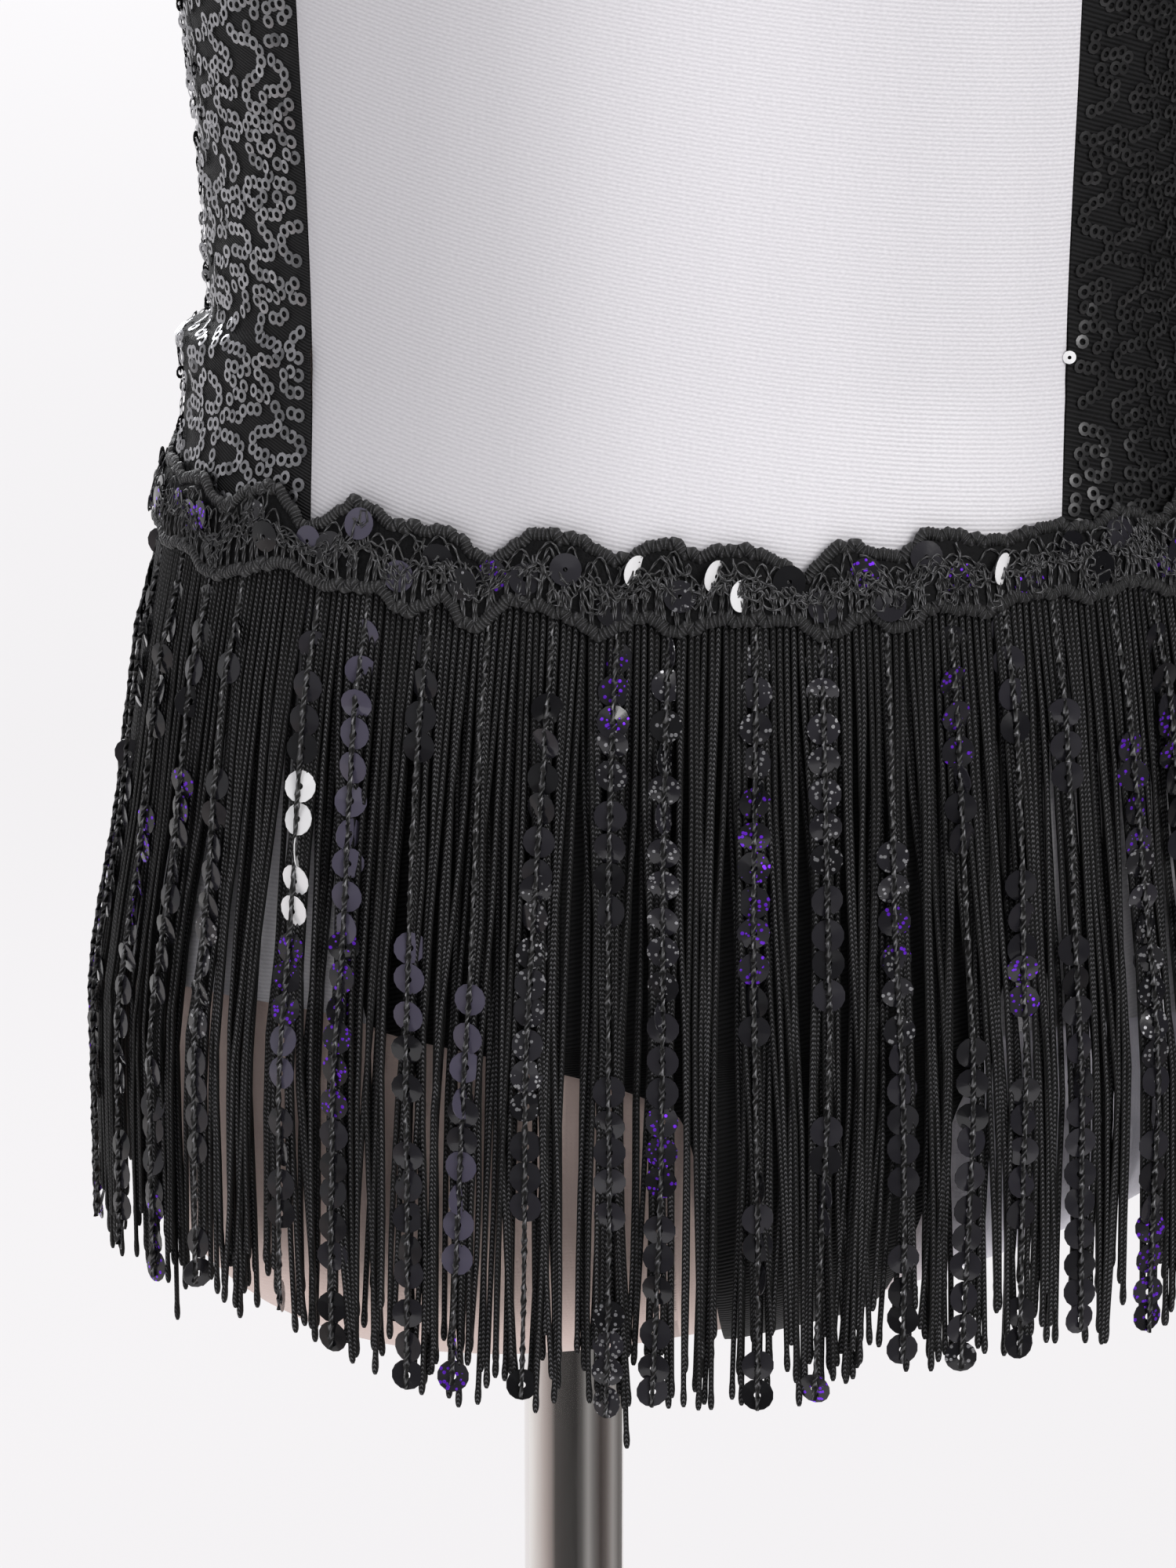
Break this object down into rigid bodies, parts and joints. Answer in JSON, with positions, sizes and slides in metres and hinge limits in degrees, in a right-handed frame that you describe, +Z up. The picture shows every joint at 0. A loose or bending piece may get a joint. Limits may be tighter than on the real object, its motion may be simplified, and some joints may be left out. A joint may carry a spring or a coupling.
{
  "type": "latin dance dress on a dress form",
  "caption": "Sleeveless Latin dance dress with a white front, black sequined sides and back, scalloped lace trim and long sequin fringe, on a limbless dress form with a round stand.",
  "frame": {"origin": "centre of the base plate's underside, on the upright's axis", "axes": "+Z up, the dress faces -Y, +X is to the viewer's right"},
  "size_m": [0.3758, 0.34, 1.449],
  "materials": {
    "white_satin": "ribbed satin twill, soft sheen",
    "black_twill": "stretch twill",
    "sequin_twill": "stretch twill sewn with small ring sequins",
    "black_lace": "corded lace with satin-stitched edges",
    "black_fringe": "glossy chainette cord",
    "sequin_gloss": "glossy flat sequins, some with glitter",
    "form_jersey": "fine matt jersey",
    "chrome": "polished"
  },
  "bodies": {
    "root": {"front_panel": "white_satin", "side_front_left": "sequin_twill", "side_front_right": "sequin_twill", "back_panel": "sequin_twill", "brief_front": "black_twill", "brief_side_left": "white_satin", "brief_side_right": "white_satin", "brief_back": "black_twill", "trim_band": "black_lace", "fringe": "black_fringe", "form_body": "form_jersey", "pole": "chrome", "pole_socket": "chrome", "base_plate": "chrome"}
  },
  "joints": []
}
